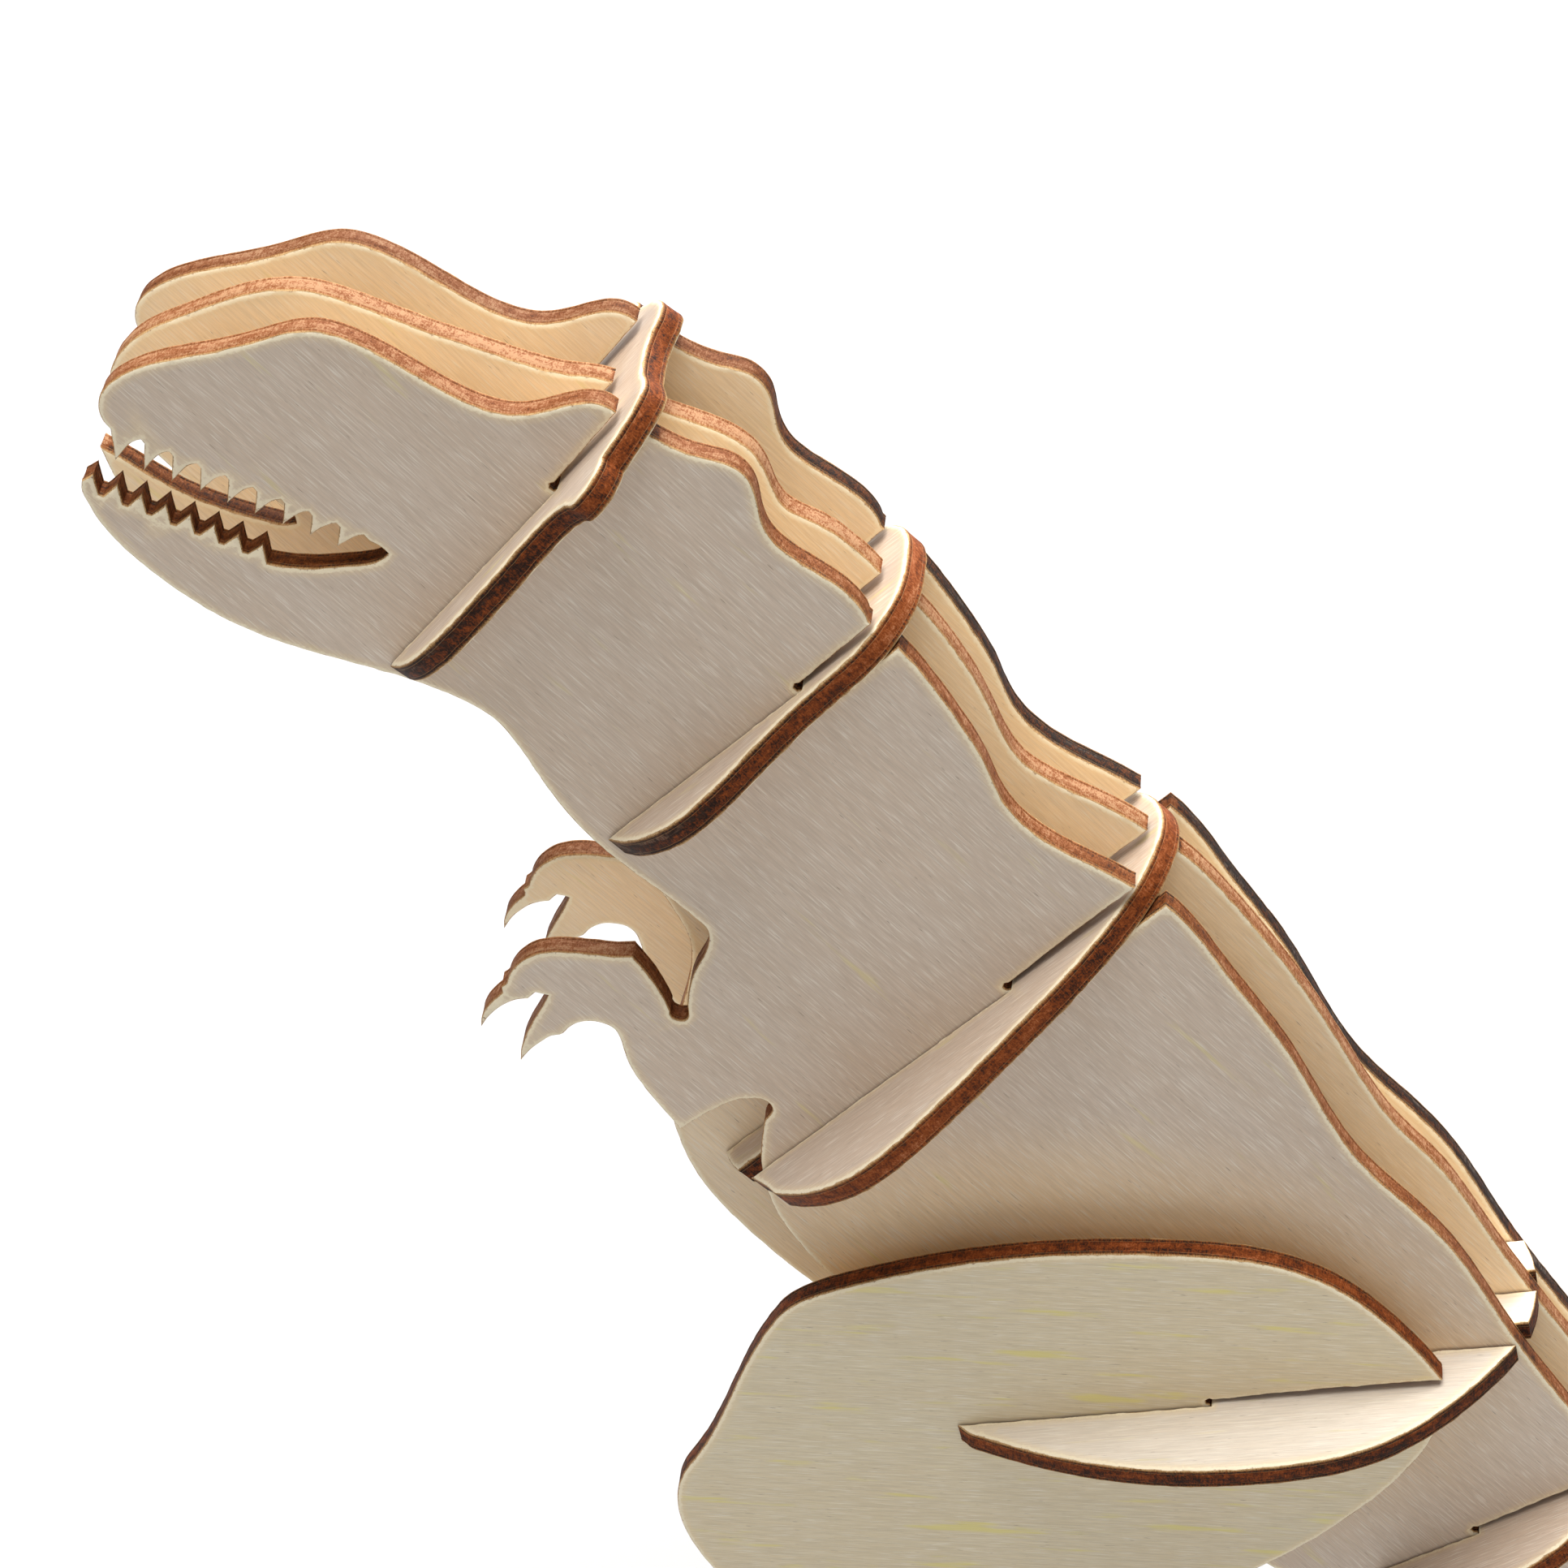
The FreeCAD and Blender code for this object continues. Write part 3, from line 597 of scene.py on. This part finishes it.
def veneer_material(node, number):
    """Sanded basswood face: fine straight fibres, soft bands, a few stains and specks, a scorched rim with a
    pale band beside the cut that is partly painted highlight, brighter inner faces that are painted bounce
    light, and a painted golden glow round the tops of the legs.
    """
    g = Graph("veneer_" + node)
    place = g.add("UVMap", uv_map="grain").outputs[0]
    shift = tuple(number * s for s in FACE_SHIFT)
    fibre, dash, band, cloud, stain, ragged = (
        g.pattern(place, shift, *pattern) for pattern in (FIBRE, DASH, BAND, CLOUD, STAIN, RAGGED))
    pore = g.pattern(place, (shift[1], shift[0], PORE_LAYER), *PORE)
    first, second = (tuple(w * t for w, t in zip(WOOD, tint)) for tint in VENEER.get(node, RIB_VENEER))
    side = g.attribute("side")
    wood = g.mix(side, first, second)
    # Painted light: the outer face is brighter and more golden round the top of the leg, a painted glow of
    # light bounced off the leg.
    if node in PAINTED_GLOW_BESIDE_LEG:
        outer = side if node == "body_right" else g.math("SUBTRACT", 1.0, side)
        low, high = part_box(PAINTED_GLOW_BESIDE_LEG[node])
        centre = ((low.x + high.x) / 2, 0.0, high.z - PAINTED_GLOW_DROP)
        spot = g.add("Mapping", {"Vector": g.add("TexCoord").outputs["Object"], "Location": centre,
                                 "Scale": PAINTED_GLOW_RADII}, vector_type="TEXTURE").outputs[0]
        away = g.add("VectorMath", {0: spot}, operation="LENGTH").outputs["Value"]
        glow_share = g.math("MULTIPLY", g.fade(away, *PAINTED_GLOW_FADE, 1.0, 0.0), outer)
        wood = g.mix(glow_share, wood, g.mix(1.0, wood, PAINTED_GLOW_TINT, "MULTIPLY"))
    band_wood, cloud_wood, fibre_wood = (
        g.mix(1.0, wood, shade, "MULTIPLY") for shade in (BAND_SHADE, CLOUD_SHADE, FIBRE_SHADE))
    colour = g.mix(g.fade(band, *SOFT), band_wood, wood)
    stain_from, stained = LEG_STAIN if node.startswith("leg") else PLATE_STAIN
    for pattern, start, full, strength, cover in (
            (cloud, 0.35, 0.75, 0.45, cloud_wood),
            (fibre, 0.32, 0.70, 0.62, fibre_wood),
            (dash, 0.50, 0.72, 0.55, DASH_COLOUR),
            (pore, 0.70, 0.80, 0.60, PORE_COLOUR),
            (stain, stain_from, stain_from + STAIN_WIDTH, stained, STAIN_COLOUR)):
        colour = g.mix(g.fade(pattern, start, full, 0.0, strength), colour, cover)
    reach = g.math("SUBTRACT", g.attribute("rim"), g.swing(ragged, RAGGED_SWING))
    # Scorch beside the cut, and a pale band that is partly painted highlight.
    for full, gone, strength, rim_colour in SCORCH_AND_PAINTED_HIGHLIGHT:
        colour = g.mix(g.fade(reach, full, gone, strength, 0.0), colour, rim_colour)
    return g.finish(colour, g.fade(fibre, *SOFT, *FACE_ROUGHNESS), g.blend(fibre, dash, 0.6), FACE_BUMP)


def burnt_material(node, number):
    """Laser-cut edge: two dark combed veneers, thin glue lines, a smoked core, pale ragged arrises."""
    g = Graph("burnt_" + node)
    place = g.add("UVMap", uv_map="grain").outputs[0]
    shift = tuple(number * s for s in EDGE_SHIFT)
    slant = g.add("VectorRotate", {"Vector": place, "Angle": SLANT}, rotation_type="Z_AXIS").outputs[0]
    streak, blotch = (g.pattern(slant, shift, *pattern) for pattern in (STREAK, BLOTCH))
    speck, comb, smoke, wander = (
        g.pattern(place, shift, *pattern) for pattern in (SPECK, COMB, SMOKE, WANDER))
    depth = g.math("ADD", g.add("SeparateXYZ", {"Vector": place}).outputs["Y"], g.swing(wander, WANDER_SWING))
    from_middle = g.math("ABSOLUTE", g.math("SUBTRACT", depth, PLY / 2))
    burn = g.attribute("burn")
    core_level = burn
    for pattern, amount in ((streak, STREAKED), (speck, SPECKED), (blotch, BLOTCHED), (smoke, SMOKED)):
        core_level = g.math("ADD", core_level, g.fade(pattern, *MIDDLE, -amount / 2, amount / 2))
    mottle = g.fade(speck, *MIDDLE, -MOTTLED / 2, MOTTLED / 2)
    tooth = g.math("MULTIPLY", g.fade(comb, *CRISP), COMBED)
    veneer_level = g.math("ADD", g.math("ADD", burn, mottle), tooth)
    in_veneer = g.fade(from_middle, VENEER_FROM, VENEER_FULL)
    level = g.add("Mix", {0: in_veneer, 2: core_level, 3: veneer_level}, data_type="FLOAT").outputs[0]
    colour = g.ramp(level, BURN_RAMP)
    ashen = g.math("MULTIPLY", g.fade(smoke, *ASH_SMOKE), g.fade(burn, *ASH_BURN))
    colour = g.mix(g.math("MULTIPLY", ashen, g.fade(streak, *CRISP, 0.0, ASH_STRENGTH)), colour, ASH)
    colour = g.mix(1.0, colour, EDGE_TINT.get(node, OTHER_TINT), "MULTIPLY")
    in_glue = g.math("MULTIPLY", g.fade(from_middle, GLUE_FROM, GLUE_FULL),
                     g.fade(from_middle, GLUE_END, GLUE_FULL))
    colour = g.mix(g.math("MULTIPLY", in_glue, GLUE_STRENGTH), colour, GLUE)
    out = g.math("ADD", from_middle, g.swing(speck, ARRIS_SWING))
    for start, full, strength, worn in ARRIS:
        colour = g.mix(g.fade(out, start, full, 0.0, strength), colour, worn)
    return g.finish(colour, MATT, g.blend(streak, comb, 0.5), EDGE_BUMP, EDGE_SHINE)


def floor_material():
    """Matt pale paper, very slightly uneven in tone."""
    g = Graph("pale_floor")
    place = g.add("TexCoord").outputs["Object"]
    tone = g.fade(g.noise(place, FLOOR_CLOUD), *SOFT)
    colour = g.mix(tone, *FLOOR_TONES)
    return g.finish(colour, MATT, g.noise(place, FLOOR_TOOTH), FLOOR_BUMP, FLOOR_SHINE)


# ---- the figure -------------------------------------------------------------------------------
for number, node in enumerate(sorted(frame["nodes"])):
    piece = build_plate(node, number)
    piece.data.materials.append(veneer_material(node, number))
    piece.data.materials.append(burnt_material(node, number))
    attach(piece, frame["nodes"][node]["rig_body"])
    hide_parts(node)

# ---- studio ---------------------------------------------------------------------------------------
floor_mesh = bpy.data.meshes.new("floor")
floor_corners = [(x * FLOOR_HALF, y * FLOOR_HALF, 0) for x, y in ((-1, -1), (1, -1), (1, 1), (-1, 1))]
floor_mesh.from_pydata(floor_corners, [], [(0, 1, 2, 3)])
floor_mesh.materials.append(floor_material())
floor = bpy.data.objects.new("floor", floor_mesh)
floor.location.z = cad_box[0].z - FLOOR_DROP
bpy.context.scene.collection.objects.link(floor)

for name, place, size, power in LIGHTS:
    lamp = bpy.data.lights.new(name, "AREA")
    lamp.shape = "RECTANGLE"
    lamp.size, lamp.size_y = size
    lamp.energy = power
    softbox = bpy.data.objects.new(name, lamp)
    softbox.location = place
    softbox.rotation_euler = (Vector(LIGHTS_AIM) - Vector(place)).to_track_quat("-Z", "Y").to_euler()
    bpy.context.scene.collection.objects.link(softbox)

world = bpy.data.worlds.new("studio")
world.use_nodes = True
sky = world.node_tree.nodes["Background"]
sky.inputs["Color"].default_value = (1.0, 1.0, 1.0, 1.0)
sky.inputs["Strength"].default_value = SKY_STRENGTH
bpy.context.scene.world = world
bpy.context.scene.view_settings.view_transform = "Standard"

# ---- camera ---------------------------------------------------------------------------------------
camera_data = bpy.data.cameras.new("camera")
camera_data.lens = LENS
camera_data.sensor_width = SENSOR_WIDTH
camera_data.clip_start = NEAREST
camera = bpy.data.objects.new("camera", camera_data)
back = Vector((math.sin(AZIMUTH) * math.cos(ELEVATION), -math.cos(AZIMUTH) * math.cos(ELEVATION),
               math.sin(ELEVATION)))
camera.location = TARGET + back * DISTANCE
camera.rotation_euler = (-back).to_track_quat("-Z", "Y").to_euler()
bpy.context.scene.collection.objects.link(camera)
bpy.context.scene.camera = camera
